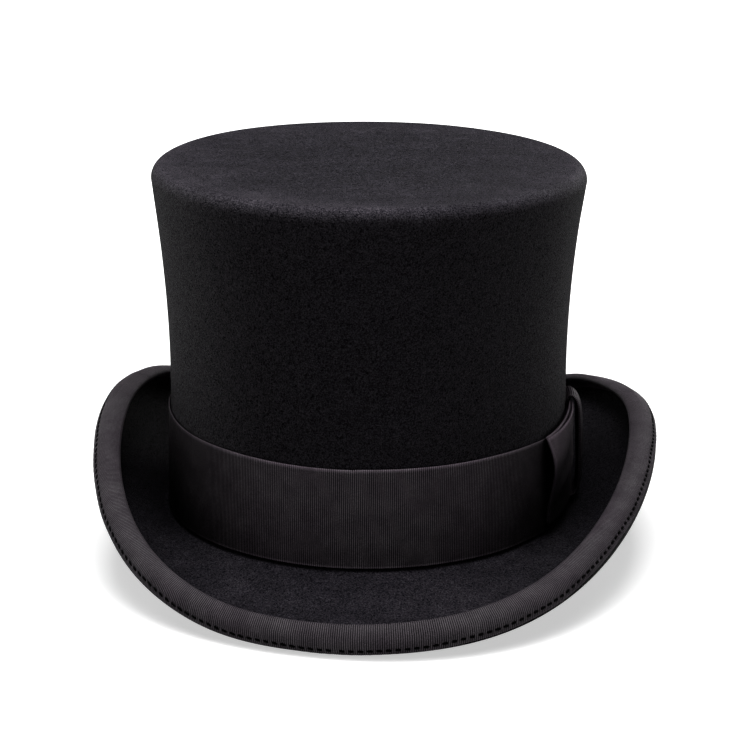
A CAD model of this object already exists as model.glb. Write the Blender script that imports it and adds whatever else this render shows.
# A black felt top hat: crown and rolled brim, ribbon band with a bow, bound rim, and the
# lining and sweatband inside. The front faces -y, the wearer's left is +x and +z is up.
#
# Shapes are drawn in centimetres with z = 0 at the foot of the crown, and to_world() sets
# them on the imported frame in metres. A "turn" is the angle round the crown in radians:
# 0 at the front, growing towards +x. An "offset" is measured outwards from the crown's face.
import bmesh
import bpy
import math
import numpy as np
from mathutils import Matrix, Vector


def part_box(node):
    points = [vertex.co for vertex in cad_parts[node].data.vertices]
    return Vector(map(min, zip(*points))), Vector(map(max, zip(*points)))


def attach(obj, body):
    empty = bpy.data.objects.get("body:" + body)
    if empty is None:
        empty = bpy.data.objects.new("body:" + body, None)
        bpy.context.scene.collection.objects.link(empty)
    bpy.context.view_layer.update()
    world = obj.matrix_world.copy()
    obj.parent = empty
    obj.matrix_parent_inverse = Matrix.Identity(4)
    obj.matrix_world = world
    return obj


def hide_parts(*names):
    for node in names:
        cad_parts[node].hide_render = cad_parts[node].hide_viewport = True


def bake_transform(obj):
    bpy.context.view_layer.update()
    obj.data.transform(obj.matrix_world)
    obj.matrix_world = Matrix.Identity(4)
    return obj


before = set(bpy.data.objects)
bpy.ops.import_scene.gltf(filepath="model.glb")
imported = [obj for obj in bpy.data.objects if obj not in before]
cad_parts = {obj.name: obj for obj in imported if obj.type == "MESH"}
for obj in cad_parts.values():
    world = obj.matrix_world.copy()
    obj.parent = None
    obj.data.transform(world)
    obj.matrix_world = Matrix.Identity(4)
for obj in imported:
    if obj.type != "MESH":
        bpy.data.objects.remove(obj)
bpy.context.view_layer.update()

CM = 0.01
TAU = 2 * math.pi
UP = np.array([0.0, 0.0, 1.0])

# ---- crown ----
CROWN_HEIGHT = 15.48
TIP_RADIUS = 0.60             # rounding between wall and tip
TIP_Z = CROWN_HEIGHT - TIP_RADIUS
WAIST_HALF_WIDTH = 8.76
WAIST_Z = 6.0
TOP_FLARE = 0.65
FOOT_FLARE = 0.07
OVAL_EXTRA = 1.65             # half length less half width
OVAL_GROWTH = 0.04 / 15.0     # what half length gains on half width per cm of height
FELT = 0.24                   # thickness
FOOT_RADIUS = 0.30            # rounding between wall and brim

# ---- rim ----
RIM_HALF_WIDTH = 11.25
RIM_HALF_LENGTH = 15.34
RIM_SQUARE_COS = -0.013       # fourfold departures from an ellipse
RIM_SQUARE_SIN = 0.010
RIM_SHIFT = (0.53, 0.24)
RIM_YAW = -0.051
RIM_Z = 1.98
# (waves per round, cosine part, sine part) of the lip's height, from the +x side
RIM_WAVES = [(1, -0.15, 1.27), (2, 1.64, 0.21), (3, -0.35, 0.33), (4, 0.19, -0.03)]
BACK_DIP = 1.88
BACK_DIP_ARC = 52.0           # degrees to each side of the back
ROLL_RADIUS = 0.765
ROLL_RADIUS_WAVE = 0.010
ROLL_ANGLE = 3.43
ROLL_ANGLE_WAVE = 0.58

# ---- ribbons, thread and inside layers ----
RIBBON = 0.07
BINDING = 0.05
GAP = 0.03
RIM_CAP = FELT / 2 + GAP + BINDING    # how far the felt's mid line ends inside the lip
BAND_FOOT_Z = 0.33
BAND_TOP_Z = 4.72
BAND_RISE = 0.15              # the band's top is higher at the back, lower at the front
RIB = 0.087                   # pitch of the ribbon's ribs
RIB_STEPS = 4
STITCH_DISTANCE = 0.83        # from the lip
STITCH_PITCH = 0.36
BOW_DEGREES = 92.0
KNOT_HALF = 0.80
LOOP_LENGTH = 4.30
BOW_FACE = GAP + RIBBON + GAP + 0.015
LINING_OUTER = -FELT - GAP
LINING_INNER = LINING_OUTER - 0.035
SWEAT_OUTER = LINING_INNER - GAP
SWEAT_INNER = SWEAT_OUTER - 0.10
REED_RADIUS = 0.070

# the frame's crown middle and the foot of its crown, in centimetres
tip_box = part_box("lining_tip")
body_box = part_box("felt_body")
FRAME_ORIGIN = np.array([
    (tip_box[0][0] + tip_box[1][0]) / 2 / CM,
    (tip_box[0][1] + tip_box[1][1]) / 2 / CM,
    body_box[1][2] / CM - CROWN_HEIGHT,
])


# ======================================================================
# small maths
# ======================================================================
def around(count):
    return np.arange(count) * TAU / count


def bell(x, width):
    return np.exp(-(x / width) ** 2)


def ease(x):
    return x * x * (3 - 2 * x)


def wave(distance, length, phase=0.0):
    return np.sin(TAU * distance / length + phase)


def unit(vectors):
    return vectors / np.linalg.norm(vectors, axis=-1, keepdims=True)


def arc_lengths(points):
    steps = np.linalg.norm(np.diff(points, axis=0), axis=1)
    return np.concatenate([[0], np.cumsum(steps)])


def rib_profile(count, steps=RIB_STEPS):
    """0 in the grooves and 1 on the ribs."""
    return (0.5 - 0.5 * np.cos(TAU * (np.arange(count) % steps) / steps)) ** 0.8


def rib_stations(curve, samples):
    """Turns at even steps along a closed curve, their distances and the whole length."""
    turn = np.linspace(0, TAU, samples)
    lengths = arc_lengths(curve(turn))
    count = int(round(lengths[-1] / RIB)) * RIB_STEPS
    distance = np.arange(count) / count * lengths[-1]
    return np.interp(distance, lengths, turn), distance, lengths[-1]


def flat_frame(curve, turn):
    """Level unit vectors along a curve and outwards from it."""
    along = curve(turn + 1e-3) - curve(turn - 1e-3)
    along[..., 2] = 0
    along = unit(along)
    outwards = np.stack([along[..., 1], -along[..., 0], np.zeros_like(along[..., 0])], -1)
    return along, outwards


def arc_point(centre, outwards, radius, angle):
    """Point on an upright arc; the angle grows from straight down towards outwards."""
    return (centre + outwards * (radius * np.sin(angle))[:, None]
            - UP * (radius * np.cos(angle))[:, None])


# ======================================================================
# the hat's surfaces
# ======================================================================
def half_width(z):
    flare = TOP_FLARE * (np.clip(z - WAIST_Z, 0, None) / (TIP_Z - WAIST_Z)) ** 2.05
    foot = FOOT_FLARE * ((WAIST_Z - z) / WAIST_Z) ** 2
    return WAIST_HALF_WIDTH + np.where(z >= WAIST_Z, flare, foot)


def oval(turn, z, offset=0.0, drawn_z=None):
    """Points on the crown's outline at z, moved outwards; drawn_z overrides their height."""
    turn, z, offset = np.broadcast_arrays(
        np.asarray(turn, float), np.asarray(z, float), np.asarray(offset, float))
    across = half_width(np.minimum(z, TIP_Z)) + offset
    length = across + OVAL_EXTRA + OVAL_GROWTH * z
    height = z if drawn_z is None else np.broadcast_to(np.asarray(drawn_z, float), z.shape)
    return np.stack([across * np.sin(turn), -length * np.cos(turn), height], -1)


def lip(turn):
    """The lowest-level guide of the rim: the end of the roll, binding included."""
    side = np.asarray(turn, float) - math.pi / 2
    scale = 1.0 + RIM_SQUARE_COS * np.cos(4 * side) + RIM_SQUARE_SIN * np.sin(4 * side)
    z = RIM_Z
    for order, cosine, sine in RIM_WAVES:
        z = z + cosine * np.cos(order * side) + sine * np.sin(order * side)
    from_back = np.abs((np.degrees(turn) % 360.0) - 180.0)
    dip = BACK_DIP * (0.5 + 0.5 * np.cos(math.pi * from_back / BACK_DIP_ARC))
    z = z - np.where(from_back < BACK_DIP_ARC, dip, 0.0)
    x = RIM_HALF_WIDTH * np.cos(side) * scale
    y = RIM_HALF_LENGTH * np.sin(side) * scale
    cosine, sine = math.cos(RIM_YAW), math.sin(RIM_YAW)
    return np.stack([x * cosine - y * sine + RIM_SHIFT[0],
                     x * sine + y * cosine + RIM_SHIFT[1], z], -1)


def roll(turn):
    """Centre, outward direction, mid-felt radius and mid-felt end angle of the roll."""
    side = turn - math.pi / 2
    radius = ROLL_RADIUS + ROLL_RADIUS_WAVE * np.cos(2 * side)
    angle = ROLL_ANGLE + ROLL_ANGLE_WAVE * np.cos(2 * side)
    outwards = flat_frame(lip, turn)[1]
    centre = arc_point(lip(turn), outwards, -radius, angle)
    return centre, outwards, radius - RIM_CAP, angle - RIM_CAP / radius


def roll_point(turn, distance):
    """Mid-felt point at a distance back from the end of the roll."""
    centre, outwards, radius, angle = roll(turn)
    return arc_point(centre, outwards, radius, angle - distance / radius)


def brim_rows(turn, foot_steps, flat_steps, roll_steps):
    """Mid-felt rows from the crown's foot, across the brim and round the roll."""
    centre, outwards, radius, end_angle = roll(turn)
    foot_out = flat_frame(lambda a: oval(a, FOOT_RADIUS), turn)[1]
    foot_centre = oval(turn, FOOT_RADIUS, -FELT / 2) + foot_out * FOOT_RADIUS
    # slope of the line that leaves the foot and touches the roll from below
    reach = centre - (foot_centre - UP * FOOT_RADIUS)
    reach_out = np.sum(reach[:, :2] * outwards[:, :2], axis=1)
    tangent = np.arcsin(np.minimum(0.95, radius / np.hypot(reach_out, reach[:, 2])))
    slope = np.arctan2(reach[:, 2], reach_out) - tangent
    foot_slope, roll_slope = slope - 0.12, slope + 0.14
    rows = []
    for step in range(1, foot_steps + 1):
        angle = (step / foot_steps) * (math.pi / 2 + foot_slope)
        rows.append(arc_point(foot_centre, foot_out, FOOT_RADIUS, angle - math.pi / 2))
    start = rows[-1]
    end = arc_point(centre, outwards, radius, roll_slope)
    span = np.linalg.norm(end - start, axis=1, keepdims=True)
    leave = foot_out * np.cos(foot_slope)[:, None] + UP * np.sin(foot_slope)[:, None]
    arrive = outwards * np.cos(roll_slope)[:, None] + UP * np.sin(roll_slope)[:, None]
    for step in range(1, flat_steps + 1):
        u = step / (flat_steps + 1)
        rows.append((2 * u ** 3 - 3 * u ** 2 + 1) * start
                    + (u ** 3 - 2 * u ** 2 + u) * span * leave
                    + (-2 * u ** 3 + 3 * u ** 2) * end
                    + (u ** 3 - u ** 2) * span * arrive)
    for step in range(roll_steps + 1):
        angle = roll_slope + (end_angle - roll_slope) * step / roll_steps
        rows.append(arc_point(centre, outwards, radius, angle))
    return np.array(rows)


def sway(points):
    """A slight hand-blocked unevenness shared by every piece, so that layers stay in contact."""
    x, y, z = points[..., 0], points[..., 1], points[..., 2]
    moved = points.copy()
    # slow waves that grow from the crown out to the rim
    grow = np.clip((np.hypot(x, y * 0.85) - 6.0) / 6.0, 0, 1.4)
    moved[..., 0] += 0.018 * np.sin(0.31 * y + 0.42 * z + 1.3) * grow
    moved[..., 0] += 0.010 * np.sin(0.83 * y - 0.55 * z) * grow
    moved[..., 1] += 0.022 * np.sin(0.29 * x - 0.37 * z + 0.4) * grow
    moved[..., 2] += 0.018 * np.sin(0.37 * x + 0.33 * y + 2.1) * grow
    moved[..., 2] += 0.008 * np.sin(0.9 * x - 0.7 * y) * grow * grow
    # the crown leans a hair to the wearer's right, and its tip is a touch fuller
    spread = np.sqrt((x / 8.9) ** 2 + (y / 10.5) ** 2)
    crown = ease(np.clip((1.32 - spread) / 0.28, 0, 1))
    moved[..., 0] += crown * 0.085 * np.clip((13.0 - z) / 8.0, 0, 1)
    moved[..., 0] += crown * 0.0085 * x * np.clip((z - 7.0) / 7.0, 0, 1) ** 1.5
    return moved


def to_world(points):
    return (sway(np.asarray(points, float)) + FRAME_ORIGIN) * CM


# ======================================================================
# meshes
# ======================================================================
def mesh_object(name, points, quads, tris=(), attrs=None):
    """A smooth closed mesh with faces turned out; attrs are point values by name."""
    verts = to_world(points).astype(np.float32)
    quads = np.asarray(quads, np.int32).reshape(-1, 4)
    tris = np.asarray(tris, np.int32).reshape(-1, 3)
    mesh = bpy.data.meshes.new(name)
    mesh.vertices.add(len(verts))
    mesh.vertices.foreach_set("co", verts.ravel())
    mesh.loops.add(quads.size + tris.size)
    corners = np.concatenate([quads.ravel(), tris.ravel()]).astype(np.int32)
    mesh.loops.foreach_set("vertex_index", corners)
    mesh.polygons.add(len(quads) + len(tris))
    starts = np.concatenate([np.arange(len(quads)) * 4, quads.size + np.arange(len(tris)) * 3])
    totals = np.concatenate([np.full(len(quads), 4), np.full(len(tris), 3)])
    mesh.polygons.foreach_set("loop_start", starts.astype(np.int32))
    mesh.polygons.foreach_set("loop_total", totals.astype(np.int32))
    mesh.update(calc_edges=True)
    mesh.validate()
    mesh.shade_smooth()
    for key, values in (attrs or {}).items():
        attribute = mesh.attributes.new(key, "FLOAT", "POINT")
        attribute.data.foreach_set("value", np.asarray(values, np.float32).ravel())
    ob = bpy.data.objects.new(name, mesh)
    bpy.context.scene.collection.objects.link(ob)
    editable = bmesh.new()
    editable.from_mesh(mesh)
    bmesh.ops.recalc_face_normals(editable, faces=editable.faces[:])
    editable.to_mesh(mesh)
    editable.free()
    return ob


def grid_quads(rows, cols, wrap_rows=False, wrap_cols=True, base=0, flip=False):
    row = np.arange(rows if wrap_rows else rows - 1)
    col = np.arange(cols if wrap_cols else cols - 1)
    row, col = np.meshgrid(row, col, indexing="ij")
    next_row, next_col = (row + 1) % rows, (col + 1) % cols
    quads = np.stack([row * cols + col, row * cols + next_col,
                      next_row * cols + next_col, next_row * cols + col], -1)
    quads = quads.reshape(-1, 4) + base
    return quads[:, ::-1] if flip else quads


def grid_normals(grid, wrap_cols=True):
    down = np.gradient(grid, axis=0)
    if wrap_cols:
        across = np.roll(grid, -1, axis=1) - np.roll(grid, 1, axis=1)
    else:
        across = np.gradient(grid, axis=1)
    normal = np.cross(down, across)
    return normal / np.maximum(np.linalg.norm(normal, axis=2, keepdims=True), 1e-12)


def section_ring(name, section, attrs=None):
    """A ring piece: section is rows x stations x 3, a closed section at each station."""
    rows, cols = section.shape[:2]
    quads = grid_quads(rows, cols, wrap_rows=True)
    return mesh_object(name, section.reshape(-1, 3), quads, attrs=attrs)


def capped_mesh(name, grids, poles=None, attrs=None):
    """One mesh of tubes, each closed by fans to a pole at either end."""
    points, quads, tris = [], [], []
    base = 0
    for grid in grids:
        rows, cols = grid.shape[:2]
        ends = [grid[0].mean(0), grid[-1].mean(0)] if poles is None else poles
        points += [grid.reshape(-1, 3), np.array(ends)]
        quads.append(grid_quads(rows, cols, base=base))
        here = np.arange(cols)
        after = (here + 1) % cols
        last = base + (rows - 1) * cols
        pole = base + rows * cols
        tris.append(np.stack([np.full(cols, pole), base + after, base + here], -1))
        tris.append(np.stack([last + here, last + after, np.full(cols, pole + 1)], -1))
        base = pole + 2
    return mesh_object(name, np.concatenate(points), np.concatenate(quads),
                       np.concatenate(tris), attrs)


def tube(centres, first, second):
    """A six-sided tube; first and second are its two half axes at each centre."""
    angle = around(6)[None, :, None]
    return centres[:, None] + np.cos(angle) * first[:, None] + np.sin(angle) * second[:, None]


def sheet(name, middle, rib, thick=0.045, rib_height=0.010, edge=0.0):
    """A ribbon with thickness from its open mid sheet, rows x cols x 3."""
    shape = rows, cols = middle.shape[:2]
    rib, edge = np.broadcast_to(rib, shape), np.broadcast_to(edge, shape)
    shift = grid_normals(middle, wrap_cols=False) * (thick / 2 + rib_height * rib)[..., None]
    points = np.concatenate([(middle + shift).reshape(-1, 3), (middle - shift).reshape(-1, 3)])
    count = rows * cols
    quads = [grid_quads(rows, cols, wrap_cols=False),
             grid_quads(rows, cols, wrap_cols=False, base=count, flip=True)]
    borders = (
        (np.arange(cols), False),
        ((rows - 1) * cols + np.arange(cols), True),
        (np.arange(rows) * cols, True),
        (np.arange(rows) * cols + cols - 1, False),
    )
    for line, flip in borders:
        here, after = line[:-1], line[1:]
        strip = np.stack([here, here + count, after + count, after], -1)
        quads.append(strip[:, ::-1] if flip else strip)
    return mesh_object(name, points, np.concatenate(quads),
                       attrs={"rib": np.stack([rib] * 2), "edge": np.stack([edge] * 2)})


def shrunk_rings(ring, shares):
    """Copies of a ring drawn in towards the crown's middle, one for each share."""
    return np.stack([ring * (share, share, 1) for share in shares])


def finish_piece(ob, material, node):
    ob.data.materials.append(material)
    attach(ob, "hat")
    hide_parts(node)


# ======================================================================
# node helpers
# ======================================================================
WHITE = (1.0, 1.0, 1.0)


class Nodes:
    """Adds nodes to the emptied tree of a material or world."""

    def __init__(self, owner):
        owner.use_nodes = True
        self.tree = owner.node_tree
        self.tree.nodes.clear()

    def put(self, socket, value):
        """Sets a socket to a number or tuple, or links an output to it."""
        if not isinstance(value, (int, float, tuple)):
            self.tree.links.new(value, socket)
        elif socket.type == "RGBA":
            socket.default_value = (*value, 1)
        else:
            socket.default_value = value

    def node(self, kind, inputs=None, **settings):
        node = self.tree.nodes.new("ShaderNode" + kind)
        for key, value in settings.items():
            setattr(node, key, value)
        for key, value in (inputs or {}).items():
            self.put(node.inputs[key], value)
        return node

    def math(self, operation, *values, clamp=False):
        return self.node("Math", dict(enumerate(values)),
                         operation=operation, use_clamp=clamp).outputs[0]

    def mix_shaders(self, fac, first, second):
        return self.node("MixShader", {0: fac, 1: first, 2: second}).outputs[0]


class Paint(Nodes):
    """A material with one principled surface. Its textures work in metres."""

    def __init__(self, name):
        self.material = bpy.data.materials.new(name)
        super().__init__(self.material)
        output = self.node("OutputMaterial")
        self.shader = self.node("BsdfPrincipled")
        self.put(output.inputs["Surface"], self.shader.outputs["BSDF"])

    def surface(self, inputs):
        for key, value in inputs.items():
            self.put(self.shader.inputs[key], value)
        return self.material

    def coords(self, scale=(1, 1, 1)):
        place = self.node("TexCoord").outputs["Object"]
        return self.node("Mapping", {"Vector": place, "Scale": scale}).outputs["Vector"]

    def noise(self, where, scale, detail=3.0, rough=0.55, distort=0.0):
        return self.node("TexNoise", {"Scale": scale, "Detail": detail, "Roughness": rough,
                                      "Distortion": distort, "Vector": where}).outputs["Fac"]

    def ramp(self, fac, *stops):
        """Each stop is (position, colour), and a plain number is a grey."""
        node = self.node("ValToRGB", {"Fac": fac})
        elements = node.color_ramp.elements
        stops = [(at, (*((c,) * 3 if isinstance(c, float) else c), 1)) for at, c in stops]
        elements[0].position, elements[0].color = stops[0]
        elements[1].position, elements[1].color = stops[-1]
        for position, colour in stops[1:-1]:
            elements.new(position).color = colour
        return node.outputs["Color"]

    def mix(self, fac, first, second, mode="MIX"):
        # sockets 0, 6 and 7 are the factor and the two colours; output 2 is the colour
        return self.node("Mix", {0: fac, 6: first, 7: second},
                         data_type="RGBA", blend_type=mode).outputs[2]

    def multiply(self, first, second):
        return self.mix(1.0, first, second, "MULTIPLY")

    def tint(self, colour, fac, *stops):
        return self.multiply(colour, self.ramp(fac, *stops))

    def tint_where(self, colour, mask, tint):
        return self.multiply(colour, self.mix(mask, WHITE, tint))

    def bump(self, height, distance, strength=1.0):
        return self.node("Bump", {"Strength": strength, "Distance": distance,
                                  "Height": height}).outputs["Normal"]

    def attribute(self, name):
        return self.node("Attribute", attribute_name=name).outputs["Fac"]

    def facing_up(self):
        normal = self.node("TexCoord").outputs["Normal"]
        return self.node("SeparateXYZ", {0: normal}).outputs["Z"]

    def hollow(self, distance, floor):
        """Grey that falls towards floor in creases and narrow troughs."""
        open_sky = self.node("AmbientOcclusion", {"Distance": distance}, samples=6)
        return self.ramp(open_sky.outputs["AO"], (0.28, floor), (0.90, 1.0))


def scaled(colour, factor):
    return tuple(x * factor for x in colour)


# ======================================================================
# materials
# ======================================================================
def felt_material():
    paint = Paint("felt_nap")
    where = paint.coords()
    fine = paint.noise(where, scale=2400, rough=0.6)
    fibre = paint.noise(where, scale=1600, detail=2, distort=0.5)
    curl = paint.noise(where, scale=950, detail=2, rough=0.6, distort=1.8)
    cloud = paint.noise(where, scale=110)
    wide = paint.noise(where, scale=22, rough=0.5)
    # the nap: short fibres, some standing light, with dark hollows between them
    nap = paint.math("ADD", paint.math("MULTIPLY", fibre, 0.55),
                     paint.math("MULTIPLY", curl, 0.45))
    colour = paint.ramp(nap, (0.37, (0.0006, 0.0006, 0.0010)), (0.50, (0.0027, 0.0026, 0.0036)),
                        (0.63, (0.0078, 0.0073, 0.0096)))
    colour = paint.tint(colour, fine, (0.38, (0.60, 0.60, 0.61)), (0.62, 1.50))
    colour = paint.tint(colour, cloud, (0.38, (0.82, 0.82, 0.83)), (0.62, (1.18, 1.18, 1.17)))
    # faces that look up are paler
    upness = paint.facing_up()
    colour = paint.tint_where(colour, paint.ramp(upness, (0.15, 0.0), (0.85, 1.0)),
                              (2.75, 2.70, 2.70))
    # level faces are patchy, and pilled where they aren't worn smooth
    pill = paint.ramp(paint.noise(where, scale=540, rough=0.70, distort=0.8),
                      (0.41, (0.35, 0.35, 0.36)), (0.59, 1.85))
    wear = paint.attribute("wear")
    level = paint.ramp(upness, (0.80, 0.0), (0.98, 1.0))
    patch = paint.noise(paint.coords((24, 48, 48)), scale=1.0, rough=0.6)
    patch = paint.ramp(patch, (0.36, (0.74, 0.75, 0.77)), (0.64, (1.20, 1.19, 1.17)))
    colour = paint.tint_where(colour, level, patch)
    unworn = paint.math("MULTIPLY_ADD", wear, -1.9, 1.0, clamp=True)
    colour = paint.tint_where(colour, paint.math("MULTIPLY", level, unworn), pill)
    # the edge of the tip and the front of the brim are rubbed paler
    colour = paint.tint(colour, wear, (0.0, 1.0), (1.0, (3.80, 3.66, 3.38)))
    hollow = paint.hollow(distance=0.095, floor=0.20)
    colour = paint.multiply(colour, hollow)
    # faint level streaks where the nap was brushed round the crown
    streak = paint.noise(paint.coords((70, 70, 1100)), scale=1.0, detail=2, rough=0.5)
    colour = paint.tint(colour, streak, (0.36, (0.84, 0.84, 0.85)), (0.64, (1.16, 1.16, 1.15)))
    colour = paint.tint(colour, wide, (0.38, (0.84, 0.84, 0.86)), (0.62, (1.16, 1.15, 1.14)))
    # only the standing fibres outside creases shine
    shine = paint.math("MULTIPLY_ADD", nap, 1.1, -0.42, clamp=True)
    paint.surface({
        "Base Color": colour,
        "Roughness": 0.60,
        "Specular IOR Level": paint.math("MULTIPLY", shine, hollow),
        "Sheen Weight": paint.math("MULTIPLY", hollow, 0.047),
        "Sheen Roughness": 0.40,
        "Sheen Tint": paint.ramp(nap, (0.42, (0.25, 0.235, 0.27)), (0.60, (0.97, 0.89, 1.0))),
        "Specular Tint": (1.0, 0.90, 1.0),
    })
    height = paint.math("ADD", paint.math("MULTIPLY", nap, 1.0),
                        paint.math("MULTIPLY", fine, 0.25))
    return paint.surface({"Normal": paint.bump(height, distance=0.0012)})


def grosgrain_material(name, base, crease_floor=None, dusty=False):
    """Ribbed ribbon, coloured by its "rib" and "edge" attributes."""
    paint = Paint(name)
    where = paint.coords()
    rib = paint.attribute("rib")
    thread = paint.noise(where, scale=2600, detail=2, rough=0.5)
    patch = paint.noise(where, scale=130)
    wide = paint.noise(where, scale=34, detail=2, rough=0.5)
    # grooves, flanks and tops of the ribs
    colour = paint.ramp(rib, (0.12, scaled(base, 0.06)), (0.45, scaled(base, 0.60)),
                        (0.95, scaled(base, 1.75)))
    colour = paint.tint(colour, thread, (0.36, 0.70), (0.64, 1.30))
    colour = paint.tint(colour, patch, (0.36, (0.84, 0.82, 0.84)), (0.64, (1.16, 1.16, 1.15)))
    colour = paint.tint(colour, wide, (0.36, (0.90, 0.86, 0.89)), (0.64, (1.10, 1.11, 1.09)))
    if dusty:
        colour = paint.tint(colour, paint.facing_up(),
                            (0.0, (0.50, 0.50, 0.52)), (0.34, (1.30, 1.25, 1.29)))
    shine = rib
    if crease_floor is not None:
        hollow = paint.hollow(distance=0.090, floor=crease_floor)
        colour = paint.multiply(colour, hollow)
        shine = paint.math("MULTIPLY", rib, hollow)
    # the selvages are woven tighter and catch the light
    colour = paint.tint(colour, paint.attribute("edge"), (0.0, 1.0), (1.0, (2.6, 2.5, 2.6)))
    paint.surface({
        "Base Color": colour,
        "Roughness": 0.50,
        "Specular IOR Level": paint.math("MULTIPLY", shine, 0.16),
        "Sheen Weight": paint.math("MULTIPLY", shine, 0.05),
        "Sheen Roughness": 0.35,
        "Sheen Tint": (1.0, 0.95, 0.99),
    })
    height = paint.math("ADD", thread, paint.math("MULTIPLY", patch, 1.2))
    return paint.surface({"Normal": paint.bump(height, distance=0.00020, strength=0.7)})


def thread_material():
    base = (0.0005, 0.0005, 0.0006)
    paint = Paint("black_thread")
    twist = paint.noise(paint.coords(), scale=3800, detail=2, rough=0.5, distort=1.2)
    return paint.surface({
        "Base Color": paint.ramp(twist, (0.35, scaled(base, 0.5)), (0.65, scaled(base, 1.5))),
        "Roughness": 0.6,
        "Specular IOR Level": 0.03,
        "Sheen Weight": 0.0,
        "Normal": paint.bump(twist, distance=0.00012, strength=0.8),
    })


def leather_material():
    paint = Paint("sweatband_leather_grain")
    where = paint.coords()
    # grain: cells whose outlines are warped by a noise
    wander = paint.node("TexNoise", {"Scale": 260, "Vector": where}).outputs["Color"]
    warp = paint.node("VectorMath", {0: wander, 1: (0.0009, 0.0009, 0.0009), 2: where},
                      operation="MULTIPLY_ADD").outputs[0]
    cell = paint.node("TexVoronoi", {"Scale": 1100, "Vector": warp},
                      feature="DISTANCE_TO_EDGE").outputs["Distance"]
    patch = paint.noise(where, scale=45)
    colour = paint.ramp(patch, (0.3, (0.022, 0.016, 0.013)), (0.7, (0.040, 0.029, 0.022)))
    colour = paint.tint(colour, cell, (0.0, 0.55), (0.12, 1.0))
    paint.surface({
        "Base Color": colour,
        "Roughness": paint.ramp(patch, (0.3, 0.38), (0.7, 0.52)),
        "Specular IOR Level": 0.45,
    })
    grain = paint.math("MINIMUM", paint.math("MULTIPLY", cell, 5.0), 1.0)
    pores = paint.math("MULTIPLY", paint.noise(where, scale=4200, detail=2), 0.25)
    height = paint.math("ADD", grain, pores)
    return paint.surface({"Normal": paint.bump(height, distance=0.00012, strength=0.7)})


def satin_material(name):
    paint = Paint(name)
    where = paint.coords()
    threads = paint.coords((2400, 2400, 180))      # stretched upright
    weave = paint.noise(threads, scale=1.0, detail=2, rough=0.5)
    patch = paint.noise(where, scale=26, rough=0.5)
    colour = paint.ramp(weave, (0.3, (0.020, 0.020, 0.024)), (0.7, (0.048, 0.048, 0.056)))
    colour = paint.tint(colour, patch, (0.3, (0.85, 0.85, 0.87)), (0.7, 1.12))
    paint.surface({
        "Base Color": colour,
        "Roughness": 0.33,
        "Anisotropic": 0.55,
        "Specular IOR Level": 0.7,
        "Sheen Weight": 0.25,
    })
    height = paint.math("ADD", weave, paint.math("MULTIPLY", patch, 1.5))
    return paint.surface({"Normal": paint.bump(height, distance=0.00010, strength=0.45)})


def woven_material(name, base, scale=1500):
    paint = Paint(name)
    where = paint.coords()
    place = paint.node("TexCoord").outputs["Object"]
    waves = [
        paint.node("TexWave", {"Scale": scale / 6.0, "Distortion": 0.6, "Detail": 1,
                               "Vector": place}, bands_direction=axis).outputs["Fac"]
        for axis in ("X", "Z")
    ]
    weave = paint.math("MULTIPLY", *waves)
    patch = paint.noise(where, scale=90, rough=0.5)
    colour = paint.ramp(weave, (0.0, scaled(base, 0.6)), (0.8, scaled(base, 1.15)))
    colour = paint.tint(colour, patch, (0.3, 0.86), (0.7, 1.1))
    paint.surface({"Base Color": colour, "Roughness": 0.8, "Sheen Weight": 0.1})
    height = paint.math("ADD", weave, paint.math("MULTIPLY", patch, 0.5))
    return paint.surface({"Normal": paint.bump(height, distance=0.00010, strength=0.7)})


def cord_material():
    paint = Paint("reed_cord")
    mottle = paint.noise(paint.coords(), scale=420, rough=0.5)
    return paint.surface({
        "Base Color": paint.ramp(mottle, (0.3, (0.24, 0.22, 0.19)), (0.7, (0.34, 0.32, 0.29))),
        "Roughness": 0.55,
        "Normal": paint.bump(mottle, distance=0.0001, strength=0.5),
    })


FELT_PAINT = felt_material()
BAND_PAINT = grosgrain_material("band_grosgrain", (0.0490, 0.0430, 0.0490), crease_floor=0.08)
BOW_PAINT = grosgrain_material("bow_grosgrain", (0.0425, 0.0358, 0.0418),
                               crease_floor=0.22, dusty=True)
BINDING_PAINT = grosgrain_material("binding_grosgrain", (0.0530, 0.0468, 0.0535))
THREAD_PAINT = thread_material()
LEATHER_PAINT = leather_material()
SATIN_PAINT = satin_material("lining_satin")
PIPING_PAINT = satin_material("piping_satin")
TAPE_PAINT = woven_material("cotton_tape_weave", (0.050, 0.048, 0.046))
LABEL_PAINT = woven_material("label_weave", (0.50, 0.48, 0.44), scale=2200)
REED_PAINT = cord_material()


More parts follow.
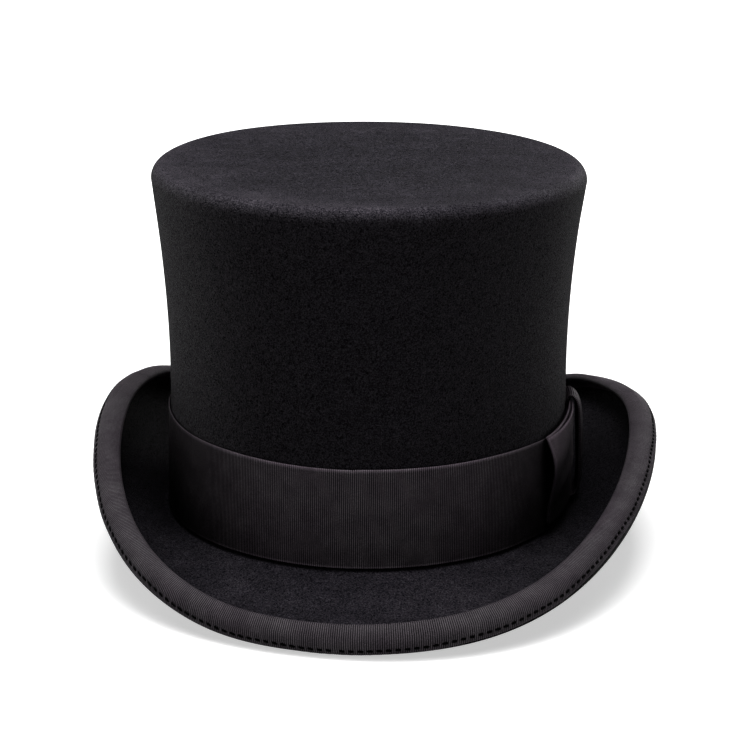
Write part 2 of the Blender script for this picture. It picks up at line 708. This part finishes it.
# ======================================================================
# felt body: crown, tip and brim
# ======================================================================
def felt_body():
    count = 320
    turn = around(count)
    half = FELT / 2
    # the tip is very slightly crowned, with a faint hollow just inside its edge
    shares = np.array([0.04, 0.12, 0.22, 0.34, 0.46, 0.58, 0.69, 0.79, 0.87, 0.93, 0.97])
    tip = shrunk_rings(oval(turn, TIP_Z, -TIP_RADIUS, CROWN_HEIGHT - half), shares)
    tip[..., 2] += (0.030 * (1 - shares ** 2) - 0.025 * bell(shares - 0.86, 0.09))[:, None]
    radius = TIP_RADIUS - half
    angle = (np.arange(13) / 12 * math.pi / 2)[:, None]
    shoulder = oval(turn, TIP_Z, -TIP_RADIUS + radius * np.sin(angle),
                    TIP_Z + radius * np.cos(angle))
    wall = oval(turn, np.linspace(TIP_Z, FOOT_RADIUS, 62)[1:, None], -half)
    brim = brim_rows(turn, foot_steps=7, flat_steps=24, roll_steps=30)
    middle = np.concatenate([tip, shoulder, wall, brim])

    normal = grid_normals(middle)
    end = middle[-1] - middle[-2]
    end = unit(end - normal[-1] * np.sum(end * normal[-1], axis=1, keepdims=True))
    rim_end = [middle[-1] + normal[-1] * (half * math.cos(a)) + end * (half * math.sin(a))
               for a in np.linspace(0, math.pi, 7)[1:-1]]
    rows = np.concatenate([middle + normal * half, np.array(rim_end),
                           (middle - normal * half)[::-1]])

    # wear on the outside: a band round the tip's edge, and the front of the brim
    wear = np.zeros(rows.shape[:2])
    row = np.arange(len(middle))
    uneven = 0.80 + 0.20 * np.sin(3 * turn + 0.5) * np.sin(7 * turn + 1.0)
    wear[:len(middle)] = 0.86 * bell(row - 15.0, np.where(row < 15, 6.5, 6.0))[:, None] * uneven
    brim_start = len(middle) - len(brim)
    front = ease(np.clip((np.cos(turn) - 0.25) / 0.65, 0, 1))
    wear[brim_start + 4:len(middle)] = 0.46 * front

    pole_z = CROWN_HEIGHT + 0.031
    ob = capped_mesh("felt_hat_body", [rows], poles=[[0, 0, pole_z], [0, 0, pole_z - FELT]],
                     attrs={"wear": np.concatenate([wear.reshape(-1), [0.0, 0.0]])})
    finish_piece(ob, FELT_PAINT, "felt_body")


felt_body()


# ======================================================================
# rim: binding ribbon with its ribs, and its stitches
# ======================================================================
BIND_OUT_WIDTH = 1.03                 # from the lip, on the roll's outer side
BIND_IN_WIDTH = 0.93                  # from the lip, on the roll's inner side
BIND_BACK = FELT / 2 + 0.012          # ribbon's hidden face, from mid-felt
BIND_FACE = FELT / 2 + 0.060          # ribbon's face, from mid-felt


def rim_frame(turn, distance):
    """Mid-felt point, unit normal towards the roll's inside, and direction to the rim's end."""
    point = roll_point(turn, distance)
    to_end = roll_point(turn, distance - 1e-3) - point
    normal = unit(np.cross(to_end, roll_point(turn + 2e-4, distance) - point))
    centre = roll(turn)[0]
    inside = np.sum((centre - point) * normal, axis=-1, keepdims=True)
    return point, np.where(inside < 0, -normal, normal), unit(to_end)


def binding_wobble(distance):
    return 0.018 * wave(distance, 7.3) + 0.012 * wave(distance, 3.1, 1.0)


def binding_ribbon():
    turn, distance, total = rib_stations(lambda a: roll_point(a, np.zeros_like(a)), 2001)
    rib = rib_profile(len(turn))
    ribbed = 0.013 * rib
    wobble = binding_wobble(distance)
    # 1 in the middle of a stitch, 0 between two
    stitch = 1 - np.abs(((distance / STITCH_PITCH) % 1.0) - 0.5) * 2
    point, normal, to_end = rim_frame(turn, np.zeros(len(turn)))
    rows, shades = [], []

    def add(row, shade=rib):
        rows.append(row)
        shades.append(shade)

    def outer_row(from_lip, lift):
        p, inwards, _ = rim_frame(turn, from_lip + wobble * (from_lip / BIND_OUT_WIDTH))
        return p - inwards * np.broadcast_to(lift, turn.shape)[:, None]

    def inner_row(from_lip, lift):
        p, inwards, _ = rim_frame(turn, from_lip + wobble * (from_lip / BIND_IN_WIDTH) * 0.7)
        return p + inwards * np.broadcast_to(lift, turn.shape)[:, None]

    # the sunk selvage of the roll's outer side, then the face up to the lip:
    # (distance from the lip, dip under a stitch, bulge beside a stitch)
    add(outer_row(BIND_OUT_WIDTH, BIND_FACE + ribbed * 0.35 - 0.030 + 0.007 * stitch), rib * 0.6)
    face = [
        (BIND_OUT_WIDTH - 0.02, 0.0, 0.007),
        (BIND_OUT_WIDTH - 0.08, 0.0, 0.007),
        (STITCH_DISTANCE + 0.055, 0.030, 0.0),
        (STITCH_DISTANCE, 0.046, 0.0),
        (STITCH_DISTANCE - 0.055, 0.030, 0.0),
        (0.70, 0.0, 0.007),
        (0.42, 0.0, 0.0),
        (0.0, 0.0, 0.0),
    ]
    for from_lip, dip, bulge in face:
        lift = BIND_FACE + ribbed - dip * stitch ** 0.5 + bulge * stitch
        add(outer_row(from_lip, lift))
    # round the lip
    for share in (0.2, 0.4, 0.6, 0.8):
        angle = math.pi * share
        lift = (BIND_FACE + ribbed)[:, None]
        add(point - normal * lift * math.cos(angle) + to_end * lift * math.sin(angle))
    # down the roll's inner side to its selvage
    for from_lip in (0.0, 0.47, BIND_IN_WIDTH - 0.04):
        add(inner_row(from_lip, BIND_FACE + ribbed))
    add(inner_row(BIND_IN_WIDTH, BIND_FACE + ribbed - 0.028))
    inner_selvage = len(rows) - 1
    # the ribbon's hidden face against the felt
    for from_lip in (BIND_IN_WIDTH - 0.02, 0.46, 0.0):
        add(inner_row(from_lip, BIND_BACK))
    add(point + to_end * BIND_BACK)
    for from_lip in (0.0, 0.5, BIND_OUT_WIDTH - 0.02):
        add(outer_row(from_lip, BIND_BACK))

    section = np.array(rows)
    edge = np.zeros(section.shape[:2])
    edge[inner_selvage - 1:inner_selvage + 1] = 0.62
    edge[0:2] = 0.4
    ob = section_ring("brim_binding_ribbon", section, {"rib": np.array(shades), "edge": edge})
    finish_piece(ob, BINDING_PAINT, "brim_binding")
    return total


def binding_stitches(total):
    """Short sunk stitches round the rim, whose length is total."""
    around_rim = np.linspace(0, TAU, 4001)
    lengths = arc_lengths(roll_point(around_rim, np.zeros_like(around_rim)))
    u = np.linspace(-1, 1, 9)
    half_length = 0.126
    radius = (0.062 * np.sqrt(np.clip(1 - (np.abs(u) * 0.97) ** 6, 0.02, 1)))[:, None]
    # each stitch arches a little and dives at its ends
    arch = 0.016 * (1 - np.abs(u) ** 2.5)
    dive = 0.030 * np.clip(np.abs(u) - 0.8, 0, 1) / 0.2
    lift = (BIND_FACE - 0.026 + arch - dive)[:, None]
    tubes = []
    for k in range(int(round(total / STITCH_PITCH))):
        distance = (k + 0.5) * STITCH_PITCH + half_length * u
        turn = np.interp(distance % total, lengths, around_rim)
        wobble = binding_wobble(distance) * (STITCH_DISTANCE / BIND_OUT_WIDTH)
        point, normal, to_end = rim_frame(turn, STITCH_DISTANCE + wobble + 0.012 * u)
        tubes.append(tube(point - normal * lift, -normal * radius * 0.8, to_end * radius))
    ob = capped_mesh("binding_stitches", tubes)
    finish_piece(ob, THREAD_PAINT, "binding_thread")


binding_stitches(binding_ribbon())


# ======================================================================
# hat band
# ======================================================================
def band():
    turn, distance, _ = rib_stations(lambda a: oval(a, 2.5, 0.1), 3001)
    rib = rib_profile(len(turn))
    degrees = np.degrees(turn)
    near_bow = bell(degrees - BOW_DEGREES + 34, 16.0)   # the ribbon pulls towards the bow
    top_z = BAND_TOP_Z - BAND_RISE * np.cos(turn) - 0.15 * bell(degrees - 63, 13.0)
    # kinds of row: (lift, share of rib height, share of rib shade, added shade, selvage)
    end = (-0.035, 0.5, 0.9, 0.0, 1.0)
    corner = (0.004, 1.0, 0.9, 0.22, 1.0)
    selvage = (0.004, 1.0, 1.0, 0.22, 0.7)
    face = (0.0, 1.0, 1.0, 0.0, 0.0)
    # (share of the band's height, kind)
    stations = [(0.0, end), (0.004, corner), (0.012, selvage)]
    stations += [(f, face) for f in (0.03, 0.14, 0.28, 0.42, 0.56, 0.70, 0.84, 0.96)]
    stations += [(0.988, selvage), (0.996, corner), (1.0, end)]
    rows, shades, edges = [], [], []
    for f, (lift, rib_share, shade_share, shade_added, edge) in stations:
        z = BAND_FOOT_Z + (top_z - BAND_FOOT_Z) * f
        z = z + 0.012 * wave(distance, 9.1, 0.6) * (1 if f > 0.5 else 0.4)
        soft = 0.012 * wave(distance, 12.7, 2.2 * f) + 0.008 * wave(distance, 5.3, -3.0 * f)
        soft += 0.006 * np.sin(TAU * (1.9 * f + distance / 31.0))
        soft += 0.005 * np.sin(TAU * (3.1 * f - distance / 17.0 + 0.3))
        pull = near_bow * 0.030 * np.sin(TAU * ((degrees - 60) / 26.0 + 0.9 * f))
        offset = (0.085 + soft * (0.4 + 0.6 * math.sin(math.pi * f)) + pull
                  + 0.011 * rib * rib_share + lift)
        rows.append(oval(turn, z, np.maximum(offset, 0.02)))
        shades.append(rib * shade_share + shade_added)
        edges.append(np.full(len(turn), edge))
    # the hidden face
    for f in (0.985, 0.5, 0.015):
        rows.append(oval(turn, BAND_FOOT_Z + (top_z - BAND_FOOT_Z) * f, 0.008))
        shades.append(rib)
        edges.append(np.zeros(len(turn)))
    # the ribs show less at the two sides
    fade = 1.0 - 0.52 * np.clip((np.abs(np.sin(turn - 0.05)) - 0.50) / 0.42, 0, 1)
    ob = section_ring("hat_band_ribbon", np.array(rows),
                      {"rib": np.clip(np.array(shades) * fade, 0, 1), "edge": np.array(edges)})
    finish_piece(ob, BAND_PAINT, "hat_band")


band()


# ======================================================================
# bow
# ======================================================================
def bow_point(distance, offset, z):
    """Point at a distance along the band from the middle of the knot, + towards the back."""
    distance, offset, z = np.broadcast_arrays(distance, offset, z)
    middle = math.radians(BOW_DEGREES)
    around_band = np.linspace(middle - 1.2, middle + 1.2, 2401)
    lengths = arc_lengths(oval(around_band, 2.5, 0.2))
    lengths -= np.interp(middle, around_band, lengths)
    turn = np.interp(distance, lengths, around_band)
    outwards = flat_frame(lambda a: oval(a, z), turn)[1]
    return oval(turn, z) + outwards * offset[..., None]


def bow_loop(name, sign, node):
    """One loop: its ribbon runs out along the back, round the fold and home along the front."""
    cols = int(2 * LOOP_LENGTH / RIB) * RIB_STEPS
    # height: 0 at the loop's foot, 1 at its top; path: 0 to 1 along the ribbon
    height, path = np.meshgrid(np.linspace(0, 1, 33), np.linspace(0, 1, cols), indexing="ij")
    fold = 0.022                                   # share of the path in the fold
    back = np.clip(path / (0.5 - fold), 0, 1)
    front = np.clip((1 - path) / (0.5 - fold), 0, 1)
    in_back = path < 0.5 - fold
    in_front = path > 0.5 + fold
    arc = np.clip((path - 0.5 + fold) / (2 * fold), 0, 1)

    def by_part(back_value, front_value, fold_value):
        return np.where(in_back, back_value, np.where(in_front, front_value, fold_value))

    # the loop stands off most at its crest, and its foot falls back
    crest = 0.64
    upper = np.sin(0.5 * math.pi * np.clip((1 - height) / (1 - crest), 0, 1))
    lower = 0.06 + 0.94 * (0.5 - 0.5 * np.cos(math.pi * np.clip(height / crest, 0, 1)))
    stand = 0.43 * np.where(height > crest, upper, lower)

    def back_layer(reach):
        return BOW_FACE + 0.035 + stand * reach ** 1.1

    def front_layer(reach):
        gap = 0.075 + 0.02 * np.cos(TAU * height)
        belly = 0.075 * np.sin(math.pi * reach ** 0.7) * (0.55 + 0.45 * height)
        # a soft diagonal fold from the knot towards the free end, with a dent beside it
        ridge = 0.055 * bell(height - 0.30 - 0.28 * (1 - reach), 0.085)
        dent = 0.045 * bell(height - 0.52 - 0.25 * (1 - reach), 0.11)
        swell = np.sin(math.pi * reach) ** 0.6
        return back_layer(reach) + gap + belly + (ridge - dent) * swell

    whole = np.ones_like(height)
    back_tip, front_tip = back_layer(whole), front_layer(whole)
    centre, radius = 0.5 * (back_tip + front_tip), 0.5 * (front_tip - back_tip)
    offset = by_part(back_layer(back), front_layer(front),
                     centre - radius * np.cos(math.pi * arc))
    # the free end is not quite upright
    start = KNOT_HALF - 0.10
    end = (KNOT_HALF + LOOP_LENGTH + 0.46 + 0.16 * (height - 0.5)
           + 0.06 * np.sin(math.pi * height))
    distance = by_part(start + (end - start) * back, start + (end - start) * front,
                       end + radius * np.sin(math.pi * arc))
    reach = by_part(back, front, 1.0)
    top_z = 4.60 + 0.36 * (1 - reach) ** 1.3
    foot_z = 0.70 + 0.50 * (1 - reach) ** 1.4 - 0.04 * np.sin(math.pi * reach)
    z = foot_z + (top_z - foot_z) * height
    z = z - np.where(in_front | (arc > 0.5), 0.035, 0.0) * height
    # selvages along the top and foot, and a rubbed line down the fold at the free end
    edge = 0.75 * bell(1 - height, 0.020) + 0.60 * bell(height, 0.020)
    edge = np.maximum(edge, 0.42 * bell(path - 0.5 - 0.6 * fold, 0.7 * fold))
    ob = sheet(name, bow_point(sign * distance, offset, z), rib_profile(cols), edge=edge)
    ob.data.materials.append(BOW_PAINT)
    # the loop bends with its own body from just outside the knot
    ends = sign * np.array([KNOT_HALF + 0.10, KNOT_HALF + 1.30])
    near, far = to_world(bow_point(ends, BOW_FACE + 0.15, 2.7))
    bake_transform(ob)
    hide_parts(node)


def catmull_rom(points, t):
    """Smooth curve through points; t counts points from the first."""
    i = np.clip(t.astype(int), 0, len(points) - 2)
    u = (t - i)[:, None]
    before, start, end = points[np.clip(i - 1, 0, None)], points[i], points[i + 1]
    after = points[np.clip(i + 2, None, len(points) - 1)]
    return 0.5 * (2 * start + (end - before) * u
                  + (2 * before - 5 * start + 4 * end - after) * u ** 2
                  + (-before + 3 * start - 3 * end + after) * u ** 3)


# the knot's path over the bow, from behind the band's top edge down to its foot: (offset, z)
KNOT_PATH = np.array([
    (0.035, 4.86), (0.08, 5.05), (0.22, 5.19), (0.42, 5.14), (0.60, 4.90),
    (0.70, 4.45), (0.76, 3.6), (0.78, 2.7), (0.77, 1.8), (0.72, 1.15),
    (0.62, 0.82), (0.45, 0.64), (0.27, 0.60), (0.17, 0.68),
])


def knot():
    path = catmull_rom(KNOT_PATH, np.linspace(0, len(KNOT_PATH) - 1, 400))
    lengths = arc_lengths(path)
    rows = int(lengths[-1] / RIB) * RIB_STEPS
    distance = np.linspace(0, lengths[-1], rows)
    offset = np.interp(distance, lengths, path[:, 0])[:, None]
    z = np.interp(distance, lengths, path[:, 1])[:, None]
    share = (distance / lengths[-1])[:, None]
    across = np.linspace(-1, 1, 33)
    swell = np.sin(math.pi * share) ** 0.5
    # gathered folds that run down the knot, and edges that turn in
    folds = 0.030 * np.cos(math.pi * (across * 2.4 + 0.25 + 0.15 * np.sin(3 * share))) * swell
    turned = -0.20 * np.abs(across) ** 5 * swell
    offset = offset + (folds + turned) * np.clip((offset - 0.1) / 0.4, 0, 1)
    width = KNOT_HALF * (1.0 - 0.10 * np.sin(math.pi * share) ** 2
                         + 0.03 * np.cos(TAU * share))
    middle = bow_point(across * width, np.maximum(offset, 0.03), z)
    ob = sheet("bow_knot_ribbon", middle, rib_profile(rows)[:, None])
    finish_piece(ob, BOW_PAINT, "bow_knot")


bow_loop("bow_front_loop_ribbon", -1, "bow_front_loop")
bow_loop("bow_rear_loop_ribbon", +1, "bow_rear_loop")
knot()


# ======================================================================
# inside
# ======================================================================
INSIDE_TURN = around(480)


def loose_stitches(name, centres, along, side, lift, half_length, radius, node):
    """Separate arched stitches; along, side and lift are each stitch's directions."""
    u = np.linspace(-1, 1, 7)
    radii = radius * np.sqrt(np.clip(1 - np.abs(u) ** 4 * 0.96, 0.02, 1))
    tubes = []
    for centre, forward, sideways, upwards in zip(centres, along, side, lift):
        spine = (centre + np.outer(u * half_length, forward)
                 + np.outer((1 - u * u) * radius * 0.5, upwards))
        tubes.append(tube(spine, np.outer(radii, upwards), np.outer(radii, sideways)))
    finish_piece(capped_mesh(name, tubes), THREAD_PAINT, node)


def lining_side():
    """The lining's satin wall, eased in with soft vertical gathers that grow upwards."""
    turn = INSIDE_TURN
    gathers = (0.010 * np.sin(turn * 61 + 0.7 * np.sin(turn * 9))
               + 0.008 * np.sin(turn * 37 + 1.1)
               + 0.006 * np.sin(turn * 97 + 2 * np.sin(turn * 5)))
    foot_z, top_z = 3.9, 14.50
    z = np.linspace(foot_z, top_z, 46)[:, None]
    grow = 0.25 + 0.75 * ((z - foot_z) / 10.6) ** 1.5
    inner = oval(turn, z, LINING_INNER - 0.018 + gathers * grow)
    outer = oval(turn, z[::-1], LINING_OUTER + 0.012)
    ob = section_ring("lining_side_satin", np.concatenate([inner, outer]))
    finish_piece(ob, SATIN_PAINT, "lining_side")


def lining_tip():
    """A padded satin oval under the tip, puckered at its edge."""
    tip_z = CROWN_HEIGHT - FELT - 0.10
    shares = np.array([0.03, 0.1, 0.2, 0.32, 0.44, 0.56, 0.67, 0.77, 0.85, 0.91, 0.95, 0.98, 1.0])
    upper = shrunk_rings(oval(INSIDE_TURN, TIP_Z, -TIP_RADIUS, tip_z), shares)
    lower = upper.copy()
    f = shares[:, None]
    pucker = 0.022 * np.sin(INSIDE_TURN * 83 + 1.3 * np.sin(INSIDE_TURN * 7)) * bell(1 - f, 0.05)
    padded = tip_z - 0.015 - 0.14 * (1 - f ** 6) - 0.05 * (1 - f * f) + pucker
    lower[..., 2] = np.minimum(padded, tip_z - 0.012)
    upper[..., 2] = tip_z + 0.015
    rows = np.concatenate([lower, upper[::-1]])
    poles = [[0, 0, rows[0, 0, 2]], [0, 0, rows[-1, 0, 2]]]
    ob = capped_mesh("lining_tip_satin", [rows], poles)
    finish_piece(ob, SATIN_PAINT, "lining_tip")


def piping():
    """A covered cord with a twist to its surface."""
    turn = around(900)
    cord_radius = 0.10
    angle = around(14)[:, None]
    radius = cord_radius * (1.0 + 0.07 * np.cos(3 * angle + turn * 150))
    offset = -FELT - 0.17 - cord_radius
    z = CROWN_HEIGHT - 0.83
    section = oval(turn, TIP_Z, offset + radius * np.cos(angle), z + radius * np.sin(angle))
    ob = section_ring("lining_piping_cord", section)
    finish_piece(ob, PIPING_PAINT, "lining_piping")


def sweatband():
    """A leather strip butted at the back, with a creased line and slightly eased edges."""
    cols = 560
    half_joint = 0.022 / 10.2
    turn = np.linspace(math.pi + half_joint, 3 * math.pi - half_joint, cols)
    foot_z, top_z = 0.16, 5.60
    z = np.concatenate([
        [foot_z, foot_z + 0.02, foot_z + 0.06],
        np.linspace(0.4, 5.2, 22),
        [top_z - 0.10, top_z - 0.04, top_z - 0.015, top_z],
    ])[:, None]
    # rounded edges, and the crease near the top
    inner_ease, outer_ease = np.zeros_like(z), np.zeros_like(z)
    inner_ease[[0, -1]] = 0.035
    inner_ease[[1, -2]] = 0.012
    inner_ease[-5] = 0.012
    outer_ease[[0, -1]] = 0.030
    lean = 0.10 * np.maximum(0.0, (z - 4.2) / 1.4) ** 2          # its top edge leans in
    waviness = 0.010 * np.sin(turn * 5 + 0.4) + 0.006 * np.sin(turn * 13)
    bulge = np.abs(waviness * (z / top_z)) * 0.5
    inner = oval(turn, z, SWEAT_INNER - lean + inner_ease - bulge)
    outer = oval(turn, z, SWEAT_OUTER - lean - outer_ease - bulge)
    rows = 2 * len(z)
    # close the two ends at the joint
    end_quads = []
    for i in range(len(z) - 1):
        for col in (0, cols - 1):
            end_quads.append([row * cols + col for row in (i, i + 1, rows - 2 - i, rows - 1 - i)])
    quads = grid_quads(rows, cols, wrap_rows=True, wrap_cols=False)
    points = np.concatenate([inner, outer[::-1]]).reshape(-1, 3)
    ob = mesh_object("sweatband_strip", points, np.concatenate([quads, end_quads]))
    finish_piece(ob, LEATHER_PAINT, "sweatband")


def sweatband_stitches():
    """A zigzag near the sweatband's foot."""
    count = 300
    turn = around(count)
    z, offset = 0.50, SWEAT_INNER - 0.004
    zigzag = np.where(np.arange(count) % 2 == 0, 1.0, -1.0)
    centres = oval(turn, z, offset, z + 0.035 * zigzag)
    along, outwards = flat_frame(lambda a: oval(a, z, offset), turn)
    tilted = unit(along + UP * zigzag[:, None] * 0.55)
    loose_stitches("sweatband_stitches", centres, tilted, np.cross(tilted, outwards), -outwards,
                   half_length=0.075, radius=0.022, node="sweatband_thread")


def reed_cover():
    """Tape folded round the reed at the foot of the sweatband."""
    turn = INSIDE_TURN
    offset = 0.5 * (SWEAT_OUTER + SWEAT_INNER) - 0.075
    z = -0.04
    # angles round the reed, in degrees, from one edge of the tape to the other
    degrees = (118, 135, 155, 180, 205, 230, 255, 280, 305, 330, 360, 390, 412, 425)
    angle = np.radians(degrees)[:, None]
    radius = (REED_RADIUS + 0.08) * (1 + 0.03 * np.sin(turn * 210))
    inner_radius = REED_RADIUS + 0.030
    outer = oval(turn, 0.0, offset + radius * np.cos(angle), z + radius * np.sin(angle))
    inner = oval(turn, 0.0, offset + inner_radius * np.cos(angle),
                 z + inner_radius * np.sin(angle))
    ob = section_ring("reed_cover_tape", np.concatenate([outer, inner[::-1]]))
    finish_piece(ob, TAPE_PAINT, "reed_cover")


def sweatband_bow():
    """A flat bow over the joint of the sweatband, with swallow-cut ends."""
    cols = 121
    across = np.linspace(-1.38, 1.38, cols)
    up = np.linspace(-1, 1, 15)[:, None]
    from_middle = np.abs(across)
    half_height = np.interp(from_middle, [0, 0.16, 0.26, 0.5, 0.8, 1.15, 1.38],
                            [0.15, 0.16, 0.21, 0.31, 0.37, 0.41, 0.43])
    lift = np.interp(from_middle, [0, 0.14, 0.2, 0.45, 0.9, 1.38],
                     [0.15, 0.145, 0.075, 0.12, 0.095, 0.055])
    cut = 0.10 * np.abs(up) * (from_middle > 1.1)
    gathers = 0.018 * np.cos(up * math.pi * 2.5) * np.exp(-from_middle / 0.5)
    middle = oval(math.pi + (across - np.sign(across) * cut) / 10.0,
                  1.15 + up * half_height + 0.02 * np.sin(across * 2),
                  SWEAT_INNER - 0.015 - lift - gathers)
    ob = sheet("sweatband_bow_ribbon", middle, rib_profile(cols, steps=4),
               thick=0.035, rib_height=0.004)
    finish_piece(ob, BOW_PAINT, "sweatband_bow")


def size_label():
    """A blank label, puffed a little in its middle."""
    across = np.linspace(-0.5, 0.5, 41)
    up = np.linspace(0, 1, 21)[:, None]
    puff = (0.030 * np.cos(math.pi * across) * np.sin(math.pi * up)
            + 0.006 * np.sin(9 * across + 5 * up))
    middle = oval(math.radians(150.0) + across * 2.6 / 10.0, 2.2 + 1.5 * up,
                  SWEAT_INNER - 0.022 - puff)
    ob = sheet("size_label_cloth", middle, 1.0, thick=0.018, rib_height=0.0)
    finish_piece(ob, LABEL_PAINT, "size_label")


def band_tack(name, node, degrees):
    """Three upright stitches over the band's top edge."""
    turn = math.radians(degrees) + np.array([-0.010, 0.0, 0.010])
    z = BAND_TOP_Z - BAND_RISE * np.cos(turn) + 0.005
    along, outwards = flat_frame(lambda a: oval(a, z, 0.075), turn)
    loose_stitches(name, oval(turn, z, 0.075), unit(UP * 0.9 - outwards * 0.45), along, outwards,
                   half_length=0.055, radius=0.014, node=node)


lining_side()
lining_tip()
piping()
sweatband()
sweatband_stitches()
reed_cover()
sweatband_bow()
size_label()
band_tack("band_tack_front_thread", "band_tack_front", 0.0)
band_tack("band_tack_rear_thread", "band_tack_rear", 180.0)

# CAD nodes that stay as they are: both are hidden between layers
for node_name, material in (("sweatband_reed", REED_PAINT), ("sweatband_seam_tape", TAPE_PAINT)):
    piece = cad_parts[node_name]
    if not piece.material_slots:
        piece.data.materials.append(material)
    for material_slot in piece.material_slots:
        material_slot.material = material


# ======================================================================
# stage, light and camera (metres)
# ======================================================================
def floor_material():
    """White to the camera and a dim grey to other rays; clear from below."""
    material = bpy.data.materials.new("floor_white")
    nodes = Nodes(material)
    output = nodes.node("OutputMaterial")
    rays = nodes.node("LightPath")
    matte = nodes.node("BsdfDiffuse", {"Color": (0.88, 0.88, 0.88)})
    # further off, the floor's glow runs into the white of the studio
    geometry = nodes.node("NewGeometry")
    distance = nodes.node("VectorMath", {0: geometry.outputs["Position"]},
                          operation="LENGTH").outputs["Value"]
    far = nodes.math("MULTIPLY", nodes.math("SUBTRACT", distance, 0.25), 1.6, clamp=True)
    glow = nodes.node("Emission", {"Color": WHITE, "Strength": nodes.math("ADD", 0.52, far)})
    seen = nodes.node("AddShader", {0: matte.outputs[0], 1: glow.outputs[0]})
    dim = nodes.node("BsdfDiffuse", {"Color": (0.40, 0.40, 0.40)})
    top = nodes.mix_shaders(rays.outputs["Is Camera Ray"], dim.outputs[0], seen.outputs[0])
    clear = nodes.node("BsdfTransparent")
    shader = nodes.mix_shaders(geometry.outputs["Backfacing"], top, clear.outputs[0])
    nodes.put(output.inputs["Surface"], shader)
    return material


def floor():
    half, z = 6.0, -0.0002
    mesh = bpy.data.meshes.new("floor")
    corners = [(-half, -half, z), (half, -half, z), (half, half, z), (-half, half, z)]
    mesh.from_pydata(corners, [], [(0, 1, 2, 3)])
    ob = bpy.data.objects.new("floor", mesh)
    bpy.context.scene.collection.objects.link(ob)
    mesh.materials.append(floor_material())


def studio_world():
    """White to the camera, almost dark as a light."""
    world = bpy.data.worlds.new("studio")
    bpy.context.scene.world = world
    nodes = Nodes(world)
    output = nodes.node("OutputWorld")
    light = nodes.node("Background", {"Color": WHITE, "Strength": 0.008})
    seen = nodes.node("Background", {"Color": WHITE, "Strength": 1.0})
    rays = nodes.node("LightPath")
    shader = nodes.mix_shaders(rays.outputs["Is Camera Ray"], light.outputs[0], seen.outputs[0])
    nodes.put(output.inputs["Surface"], shader)


# (name, place, aimed at, width, height, watts)
LIGHTS = [
    ("top_softbox", (0.0, 0.0, 1.35), (0, 0, 0.10), 0.8, 1.0, 16.0),
    ("high_front_softbox", (0.0, -0.60, 1.30), (0, -0.05, 0.10), 0.8, 1.0, 8.0),
    ("left_key", (-1.35, -1.10, 0.62), (0, -0.02, 0.08), 0.7, 0.7, 2.8),
    ("right_key", (1.35, -1.10, 0.62), (0, -0.02, 0.08), 0.7, 0.7, 2.4),
    ("left_strip", (-0.95, 0.72, 0.50), (0, 0, 0.09), 0.45, 1.0, 2.7),
    ("right_strip", (0.60, 1.10, 0.50), (0, 0, 0.09), 0.45, 1.0, 2.4),
]


def lights():
    for name, place, target, width, height, watts in LIGHTS:
        light = bpy.data.lights.new(name, "AREA")
        light.shape = "RECTANGLE"
        light.size, light.size_y = width, height
        light.energy = watts
        ob = bpy.data.objects.new(name, light)
        bpy.context.scene.collection.objects.link(ob)
        ob.location = place
        aim = Vector(target) - Vector(place)
        ob.rotation_euler = aim.to_track_quat("-Z", "Y").to_euler()
        ob.visible_camera = False


def camera():
    """Looks at the crown from the front, a little above and to the +x side."""
    turn, elevation, distance = math.radians(2.957), math.radians(14.231), 1.16916
    tilt = math.radians(0.68)
    target_z = 7.0                # cm above the crown's foot
    lens = bpy.data.cameras.new("camera")
    ob = bpy.data.objects.new("camera", lens)
    bpy.context.scene.collection.objects.link(ob)
    target = Vector((FRAME_ORIGIN[0] * CM, FRAME_ORIGIN[1] * CM,
                     (FRAME_ORIGIN[2] + target_z) * CM))
    back = Vector((math.sin(turn) * math.cos(elevation),
                   -math.cos(turn) * math.cos(elevation), math.sin(elevation)))
    aim = (-back).to_track_quat("-Z", "Y").to_matrix().to_4x4()
    ob.matrix_world = (Matrix.Translation(target + back * distance) @ aim
                       @ Matrix.Rotation(tilt, 4, "Z"))
    lens.sensor_width = 36.0
    lens.lens = 126.38496
    lens.shift_x = 0.01036
    lens.shift_y = -0.03482
    lens.clip_end = 50
    bpy.context.scene.camera = ob


def view():
    settings = bpy.context.scene.view_settings
    settings.view_transform = "Standard"
    settings.look = "None"
    settings.exposure = 0.0
    settings.gamma = 1.0


floor()
studio_world()
lights()
camera()
view()
